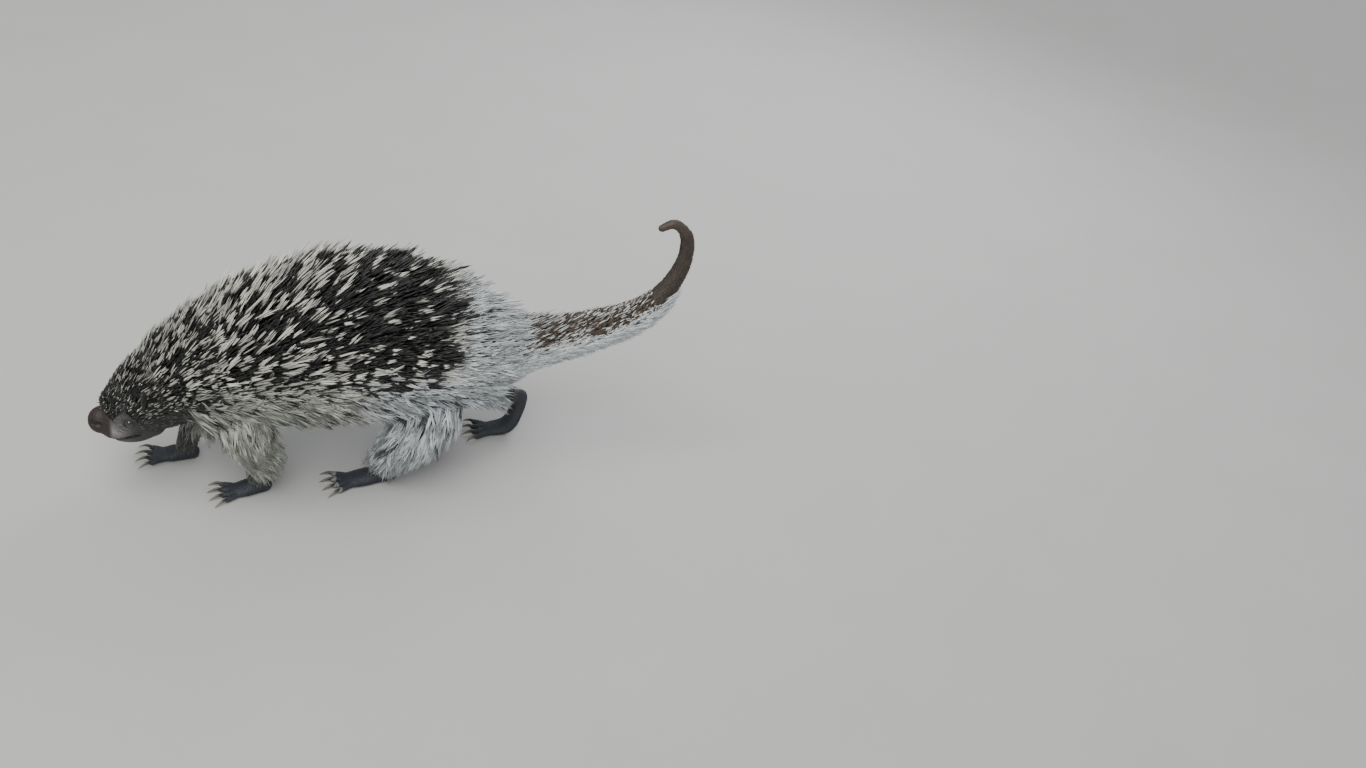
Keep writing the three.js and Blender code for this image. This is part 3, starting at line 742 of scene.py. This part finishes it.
skin_finish = finish_of("porcupine skin", 0.5, 420, 0.5, bump=0.5, distance=0.0006)
quill_finish = finish_of("quill horn", 0.25, 260, 0.34, bump=0.1)
hair_finish = finish_of("bristle hair", 0.35, 200, 0.55, bump=0.1, sheen=0.2)
claw_finish = finish_of("claw horn", 0.4, 500, 0.28, bump=0.3, distance=0.0002, coat=0.3)
eye_finish = finish_of("wet eye", 0.1, 300, 0.02, bump=0.0, coat=1.0)
floor_finish = finish_of("pale floor", 0.06, 6, 0.75, bump=0.05, colour=(0.52, 0.52, 0.5))
floor.data.materials.append(floor_finish)
skin.data.materials.append(skin_finish)
for polygon in skin.data.polygons:
    polygon.use_smooth = True
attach(skin, ROOT)
SKIN_NODES = [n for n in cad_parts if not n.startswith(("eye_", "claw_"))]
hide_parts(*SKIN_NODES)
print("skin replaces", len(SKIN_NODES), "nodes")

# %% [markdown]
# # How a coat is grown
# Particle hair doesn't leave Blender, so each quill and hair is a thin tapered spike of real mesh. All
# the spikes of a region are made at once as arrays of points: a root on the skin, a way to lie, a
# length, and a bend. The white band starts at its own ring, so it stays crisp along the shaft.

# %% Spikes as joined meshes
PATCH = 0.003  # size of one spike's patch in the unwrap
PROFILES = {4: (0.75, 1.0, 1.0, 0.62), 3: (0.8, 1.0, 0.7), 2: (0.9, 0.8)}


def spikes(name, root, way, down, length, radius, bend, band, dark, light, uv_root, finish, rings=4):
    """Joined tapered spikes. band is where along each the light colour starts."""
    sides = 3
    profile = np.array(PROFILES[rings])
    count = len(root)
    band = np.clip(band, 0.06, 0.93)
    steps = {4: [np.zeros(count), band - 0.05, band + 0.03, np.maximum(band + 0.05, 0.86), np.ones(count)],
             3: [np.zeros(count), np.full(count, 0.35), np.full(count, 0.72), np.ones(count)],
             2: [np.zeros(count), np.full(count, 0.5), np.ones(count)]}
    fractions = np.stack(steps[rings], axis=1)
    across = unit(np.cross(way, down))
    over = np.cross(across, way)
    centre = (root[:, None] + way[:, None] * (length[:, None] * fractions)[..., None]
              + down[:, None] * (bend[:, None] * length[:, None] * fractions**2)[..., None])
    turn = np.linspace(0, 2 * pi, sides, endpoint=False)
    circle = across[:, None] * np.cos(turn)[None, :, None] + over[:, None] * np.sin(turn)[None, :, None]
    loops_of = centre[:, :rings, None] + circle[:, None] * (radius[:, None] * profile)[..., None, None]
    vertices = np.concatenate([loops_of.reshape(count, -1, 3), centre[:, rings:]], axis=1)
    vertices[..., 2] = np.maximum(vertices[..., 2], FLAT_SOLE)
    each = rings * sides + 1
    quads, caps = [], []
    for i in range(rings - 1):
        for j in range(sides):
            k = (j + 1) % sides
            quads.append((i * sides + j, i * sides + k, (i + 1) * sides + k, (i + 1) * sides + j))
    for j in range(sides):
        caps.append(((rings - 1) * sides + j, (rings - 1) * sides + (j + 1) % sides, rings * sides))
    base = (np.arange(count) * each)[:, None]
    loops = np.concatenate([np.array(quads).ravel(), np.array(caps).ravel(), np.arange(sides)[::-1]])
    sizes = np.array([4] * len(quads) + [3] * len(caps) + [sides])
    all_loops = (base + loops[None]).ravel().astype(np.int32)
    all_sizes = np.tile(sizes, count)
    starts = np.concatenate([[0], np.cumsum(all_sizes)[:-1]]).astype(np.int32)
    mesh = bpy.data.meshes.new(name)
    mesh.vertices.add(count * each)
    mesh.vertices.foreach_set("co", vertices.astype(np.float32).ravel())
    mesh.loops.add(len(all_loops))
    mesh.loops.foreach_set("vertex_index", all_loops)
    mesh.polygons.add(len(all_sizes))
    mesh.polygons.foreach_set("loop_start", starts)
    mesh.polygons.foreach_set("loop_total", all_sizes.astype(np.int32))
    mesh.polygons.foreach_set("use_smooth", np.ones(len(all_sizes), bool))
    mesh.update(calc_edges=True)
    lit = ramp(fractions[:, :rings], band[:, None] - 0.04, band[:, None] + 0.02)[..., None]
    shade = dark[:, None] * (1 - lit) + light[:, None] * lit
    colours = np.concatenate([np.repeat(shade, sides, axis=1), light[:, None]], axis=1)
    paint(mesh, "tone", colours.reshape(-1, 3))
    ring_u = np.concatenate([np.tile(np.linspace(-0.5, 0.5, sides), rings), [0]])
    along_v = np.concatenate([np.repeat(fractions[:, :rings], sides, axis=1), fractions[:, rings:]], axis=1) - 0.5
    patch = np.stack([uv_root[:, 0:1] + PATCH * ring_u[None], uv_root[:, 1:2] + PATCH * along_v], axis=2)
    mesh.uv_layers.new(name="OFBake").data.foreach_set(
        "uv", patch.reshape(-1, 2)[all_loops].astype(np.float32).ravel())
    made = bpy.data.objects.new(name, mesh)
    bpy.context.collection.objects.link(made)
    mesh.materials.append(finish)
    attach(made, ROOT)
    triangles = int((all_sizes - 2).sum())
    print(f"{name}: {count} spikes, {triangles} triangles")
    return made


# %% [markdown]
# # Where each hair grows
# Roots are drawn evenly over the skin of a limb, between two stations and two angles from its top.
# Roots that lie inside another limb, or on an eye or an ear, are dropped. Each spike leans back along
# the body; the low ones droop under their own weight.

# %% Drawing roots on a limb
BODY_SEED = 7
SCATTER = 0.012
CLUMP_LEAN = 0.16  # how far neighbouring quills lean together, to either side


def bare_spots():
    return [(eye_place(s)[0], 0.0085) for s in SIDES.values()] + [
        (trunk.surface([EAR_STATION], np.array([s * EAR_ANGLE]), 0.5)[0], 0.0075) for s in SIDES.values()]


def inside_other(points, own):
    hit = np.zeros(len(points), bool)
    for name, limb in LIMBS.items():
        if limb is own:
            continue
        s = limb.frames
        for first in range(0, len(points), 4000):
            block = points[first:first + 4000]
            gap = np.linalg.norm(block[:, None] - s["centre"][None], axis=2)
            hit[first:first + 4000] |= (gap < np.minimum(s["width"], s["height"])[None] * 0.93).any(axis=1)
    return hit


def grow(name, limb_name, count, stations, angles, finish, slot, random, reach=1.0, length=None, rise=0.6,
         radius=0.0012, bend=0.1, pull=(0, 0, 0), pale=None, tipped=1.0, tint=1.0, shade=None, rings=4, wild=0.13,
         lock=1, spread=0.0, gather=0.0, curl=0.0, patchy=0.25):
    """A region of coat. reach is the share of the coat's height its tips get to, or length sets it."""
    limb = LIMBS[limb_name]
    grid = np.linspace(stations[0], stations[1], 120)
    frames = limb.at(grid)
    step = np.linalg.norm(np.gradient(frames["centre"], axis=0), axis=1)
    weight = np.cumsum(step * (frames["width"] + frames["height"]))
    locks = count // lock
    # An even scatter: each next root steps on by irrational shares of the region, and is moved a little
    along_share = (np.arange(locks) * 0.7548777 + random.random() + random.normal(0, SCATTER, locks)) % 1
    round_share = (np.arange(locks) * 0.5698403 + random.random() + random.normal(0, SCATTER, locks)) % 1
    t = np.interp(along_share, weight / weight[-1], grid)
    angle = angles[0] + (angles[1] - angles[0]) * round_share
    if len(angles) == 3:
        angle *= random.choice([-1, 1], locks)
    root = limb.surface(t, angle)
    keep = ~inside_other(root, limb) & (root[:, 2] > 0.004)
    for place, clear in bare_spots():
        keep &= np.linalg.norm(root - place, axis=1) > clear
    t, angle = t[keep], angle[keep]
    locks = len(t)
    count = locks * lock

    def shared(draws, own):
        """One draw for each lock, and a little more for each of its spikes."""
        return np.repeat(draws, lock) + random.normal(0, own, count)

    middle = np.repeat(limb.surface(t, angle), lock, axis=0)
    pace = np.linalg.norm(limb.surface(t + 0.03, angle) - limb.surface(t - 0.03, angle), axis=1) / 0.06
    size = (limb.at(t)["width"] + limb.at(t)["height"]) / 2
    clump = CLUMP_LEAN * np.sin(9 * t + 2 * np.sin(7 * angle)) * np.cos(6 * angle + t)
    lift = np.maximum(shared(rise * random.uniform(0.75, 1.3, locks), 0.03), 0.12)
    lean = shared(random.normal(0, wild, locks) + clump, 0.04)
    side_curl = shared(random.normal(0, curl, locks), 0.1 * curl)
    x, round_, on_trunk = places(np.full(locks, NAMES.index(limb_name)), t, angle)
    dim = 0.6 * dark_patch(x, round_) * on_trunk
    share = pale_share(np.full(locks, NAMES.index(limb_name)), t, angle) if pale is None else np.full(locks, pale)
    chance = np.maximum(tipped * (1 - dim), np.where(share > 0.6, share, 0))
    has_tip = np.repeat(random.random(locks) < chance, lock)
    share = shared(share * random.uniform(0.7, 1.3, locks), 0.03)
    shine = np.repeat(random.uniform(1 - patchy, 1.15, locks), lock)[:, None]
    spread_t = random.normal(0, 1, count) * spread / np.repeat(pace, lock)
    t = np.clip(np.repeat(t, lock) + spread_t, 0.05, limb.last - 0.05)
    angle = np.repeat(angle, lock) + random.normal(0, 1, count) * spread / np.repeat(size, lock)
    root = limb.surface(t, angle)
    normal = limb.normal(t, angle)
    ahead = unit(limb.surface(t + 0.03, angle) - limb.surface(t - 0.03, angle))
    across = np.cross(normal, ahead)
    way = unit(ahead * np.cos(lift)[:, None] + normal * np.sin(lift)[:, None] + across * lean[:, None]
               + np.array(pull))
    coat = limb.at(t)["coat"] * limb.coat_share(angle)
    long = reach * coat / np.sin(lift) if length is None else np.full(count, length)
    long = long * shared(random.uniform(0.8, 1.06, locks), 0.03)
    way = unit(way * long[:, None] + (middle - root) * gather)
    which = np.full(count, NAMES.index(limb_name))
    dark = skin_colour(root, which, t, angle) * shade if shade else shaft_colour(which, t, angle)
    light = dark * 2.4 if shade else pale_colour(which, t, angle) * tint
    light = np.where(has_tip[:, None], light * shine, dark * random.uniform(0.9, 1.9, count)[:, None])
    dark = dark * random.uniform(0.6, 1.5, count)[:, None]
    return spikes(name, root - way * 0.001, way, unit(across * side_curl[:, None] - normal), long,
                  radius * random.uniform(0.75, 1.15, count), bend * random.uniform(0.2, 1.6, count), 1 - share,
                  dark, light, unwrap(which, t, angle), finish, rings)


# %% [markdown]
# # The quills
# On the back a quill is 4 to 6 cm long, as thick as a match, and leans back about 35 degrees. The
# first ones on the forehead are short and fine. Not every quill has a white tip.

# %% Quills of head, neck, back and tail
random = np.random.default_rng(BODY_SEED)
QUILL = {"finish": quill_finish, "slot": "coat", "random": random}
DARK = dict(QUILL, tipped=0.06, reach=0.82)
STREAK = dict(QUILL, tipped=1.0, reach=1.12, spread=0.0017, gather=0.6, wild=0.17, patchy=0.5)
REGIONS = {
    # stations, furthest angle, rise, radius, dark quills, pale ones, pale ones in a lock, their tint
    "brow": (3.4, 5.0, 1.05, 0.45, 0.0006, 1500, 110, 2, 0.3),
    "head": (4.9, 7.2, 1.7, 0.5, 0.0009, 3000, 330, 2, 0.55),
    "neck": (7.1, 9.4, 1.7, 0.58, 0.0012, 3200, 660, 3, 0.85),
    "shoulders": (9.3, 12.0, 1.75, 0.62, 0.0014, 4900, 1800, 4, 1.0),
    "back": (12.0, 14.4, 1.75, 0.62, 0.0014, 4900, 1600, 4, 1.0),
    "rump": (14.4, 16.5, 2.1, 0.52, 0.0012, 3600, 2400, 4, 1.0),
    "tail": (16.2, 20.4, 1.6, 0.42, 0.0010, 3100, 560, 2, 0.9),
}
for region, (first, last, far, rise, radius, darks, pales, lock, tint) in REGIONS.items():
    grow(f"quills_{region}", "trunk", darks, (first, last), (0, far, 1), rise=rise, radius=radius,
         pull=(0, 0, 0.3), **DARK)
    grow(f"streaks_{region}", "trunk", pales, (first, last), (0, far, 1), rise=rise, radius=radius * 0.95,
         lock=lock, tint=tint, pull=(0, 0, 0.3), **STREAK)

# %% [markdown]
# # Hair and bristles
# Between the quills grows a short dark underfur. Low on the flanks the quills give way to long pale
# hair that hangs as a fringe, the tail is white beneath, and face and feet carry only short fur.

# %% Underfur, fringe, legs and face
HAIR = {"finish": hair_finish, "slot": "coat", "random": random}
grow("underfur_front", "trunk", 6400, (4.6, 12.0), (0, 1.9, 1), reach=0.5, rise=0.75, radius=0.0008, bend=0.3,
     pale=0.1, tipped=0, rings=2, **HAIR)
grow("underfur_back", "trunk", 6400, (12.0, 16.6), (0, 1.9, 1), reach=0.5, rise=0.75, radius=0.0008, bend=0.3,
     pale=0.1, tipped=0, rings=2, **HAIR)
LOCKS = dict(HAIR, rings=3, lock=6, spread=0.0022, gather=0.75, curl=0.9, patchy=0.6)
grow("flank_curls", "trunk", 4800, (8.2, 15.8), (1.25, 1.8, 1), length=0.026, rise=0.62, radius=0.001, bend=0.5,
     pull=(0, 0, -0.1), pale=0.7, tipped=0.62, wild=0.55, **LOCKS)
grow("flank_fringe", "trunk", 6000, (8.4, 15.8), (1.55, 2.2, 1), length=0.042, rise=0.4, radius=0.0009, bend=0.3,
     pull=(0.1, 0, -0.5), pale=0.85, tipped=0.9, wild=0.35, **LOCKS)
grow("belly_fur", "trunk", 4800, (7.6, 16.0), (2.05, 3.15, 1), length=0.024, rise=0.4, radius=0.0008, bend=0.2,
     pull=(0, 0, -0.3), pale=0.7, tipped=0.7, tint=0.6, rings=2, wild=0.25, **HAIR)
grow("throat_fur", "trunk", 4200, (4.6, 8.8), (1.6, 3.15, 1), length=0.011, rise=0.4, radius=0.0006, bend=0.2,
     pale=0.5, tipped=0.5, tint=0.25, rings=2, **HAIR)
grow("tail_bristles", "trunk", 6000, (16.0, 20.7), (1.55, 3.15, 1), length=0.026, rise=0.42, radius=0.0006, bend=0.15,
     pale=0.9, tipped=1.0, rings=3, lock=4, spread=0.0015, gather=0.6, **HAIR)
grow("tail_end_fur", "trunk", 2600, (20.2, 23.0), (0, 3.15, 1), length=0.007, rise=0.3, radius=0.0004, bend=0.2,
     pale=0.3, tipped=0.4, shade=0.8, rings=2, **HAIR)
grow("face_fur", "trunk", 6500, (1.8, 5.2), (0, 3.15, 1), length=0.0045, rise=0.3, radius=0.0003, bend=0.3,
     pale=0.6, tipped=0.5, shade=0.8, rings=2, **HAIR)
for name in LEGS:
    hind = name.startswith("hind")
    grow(f"thigh_fringe_{name}" if hind else f"leg_fur_{name}", name, 3000, (0.4, 2.9 if hind else 2.6), (-pi, pi),
         length=0.04 if hind else 0.036, rise=0.36, radius=0.0009, bend=0.14, pale=0.9, tipped=0.97,
         wild=0.25, pull=(0.15, 0, -0.1) if hind else (0.45, 0, -0.1), **LOCKS)
    grow(f"shin_fur_{name}", name, 1700, (2.2, 3.95), (-pi, pi), length=0.01, rise=0.3, radius=0.0005,
         bend=0.2, pale=0.6, tipped=0.5, tint=0.35, rings=2, **HAIR)
for name in FEET:
    grow(f"foot_fur_{name}", name, 900, (0.05, 2.7), (-1.5, 1.5), length=0.005, rise=0.25, radius=0.0003,
         bend=0.2, pale=0.3, tipped=0.3, shade=0.8, rings=2, **HAIR)

# %% [markdown]
# # Eyes, claws and whiskers
# The eye is a small, dark, wet bead: its iris is a little browner than its pupil. Claws are curved
# and tapered, with a paler horn towards the tip. Whiskers spring from the sides of the muzzle.


# %% Eyes
IRIS = np.array([0.014, 0.009, 0.007])
PUPIL = np.array([0.004, 0.004, 0.005])
WHITE_RIM = np.array([0.02, 0.015, 0.014])
for side, sign in SIDES.items():
    centre, way = eye_place(sign)
    balls = ellipsoid(centre, np.eye(3) * EYE_RADIUS, rings=24, sides=36)
    eye = mesh_object(f"eye_{side}_bead", *balls)
    looks = unit(balls[0] - centre) @ way
    colour = blend_colour(np.tile(WHITE_RIM, (len(looks), 1)), IRIS, ramp(looks, 0.6, 0.66))
    paint(eye.data, "tone", blend_colour(colour, PUPIL, ramp(looks, 0.84, 0.88)))
    for polygon in eye.data.polygons:
        polygon.use_smooth = True
    eye.data.materials.append(eye_finish)
    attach(eye, ROOT)
    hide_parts(f"eye_{side}")
print("eyes at", np.round(eye_place(1)[0], 4))

# %% Claws
CLAW_ROOT = np.array([0.03, 0.026, 0.024])
CLAW_TIP = np.array([0.2, 0.17, 0.13])
for foot_name, foot in FEET.items():
    made = []
    tones = []
    for root, way, length, radius, height in toes_of(*foot):
        start = length + radius * 0.5 - 2

        def station(reach, z, r):
            return (*(root + way * (start + reach)), z, r * 0.8, r, 0)

        claw = Limb([station(0, height + 1, CLAW_RADIUS), station(CLAW_LENGTH * 0.4, height + 1.8, CLAW_RADIUS * 0.85),
                     station(CLAW_LENGTH * 0.8, height * 0.9, CLAW_RADIUS * 0.55),
                     station(CLAW_LENGTH + 2, 1.1, 0.35)], steps=20)
        shape = tube(claw, rings=14, sides=14)
        made.append(shape)
        reach = np.linalg.norm(shape[0] - shape[0][:14].mean(0), axis=1) / (CLAW_LENGTH * MM)
        tones.append(blend_colour(np.tile(CLAW_ROOT, (len(reach), 1)), CLAW_TIP, ramp(reach, 0.3, 1.0)))
    claws = mesh_object(f"claws_{foot_name}", *joined(made))
    paint(claws.data, "tone", np.vstack(tones))
    for polygon in claws.data.polygons:
        polygon.use_smooth = True
    claws.data.materials.append(claw_finish)
    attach(claws, ROOT)
    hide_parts(*[f"claw_{foot_name}_{i + 1}" for i in range(TOES)])
print("claws on", len(FEET), "feet")

# %% Whiskers
WHISKERS_A_SIDE = 16
whisker_random = np.random.default_rng(BODY_SEED + 1)
side_of = np.repeat([-1.0, 1.0], WHISKERS_A_SIDE)
count = len(side_of)
t = whisker_random.uniform(1.9, 3.0, count)
angle = side_of * whisker_random.uniform(1.2, 1.8, count)
root = trunk.surface(t, angle)
normal = trunk.normal(t, angle)
way = unit(normal * 0.6 + np.array([0.8, 0, 0.1]) + whisker_random.normal(0, 0.12, (count, 3)))
which = np.zeros(count, int)
dark = np.tile(CHARCOAL, (count, 1))
spikes("whiskers", root - way * 0.001, way, np.tile([0.3, 0, -1.0], (count, 1)),
       whisker_random.uniform(0.016, 0.03, count), np.full(count, 0.00018), np.full(count, 0.2),
       np.full(count, 0.5), dark, dark * 1.5, unwrap(which, t, angle), hair_finish, 4)

# %% [markdown]
# # Triangles
# The triangles of every mesh that renders are counted, in all and for the largest.

# %% Count the triangles
triangles = {o.name: sum(len(p.vertices) - 2 for p in o.data.polygons) for o in bpy.context.scene.objects
             if o.type == "MESH" and not o.hide_render}
print("triangles in all:", sum(triangles.values()), "largest:", max(triangles.values()))
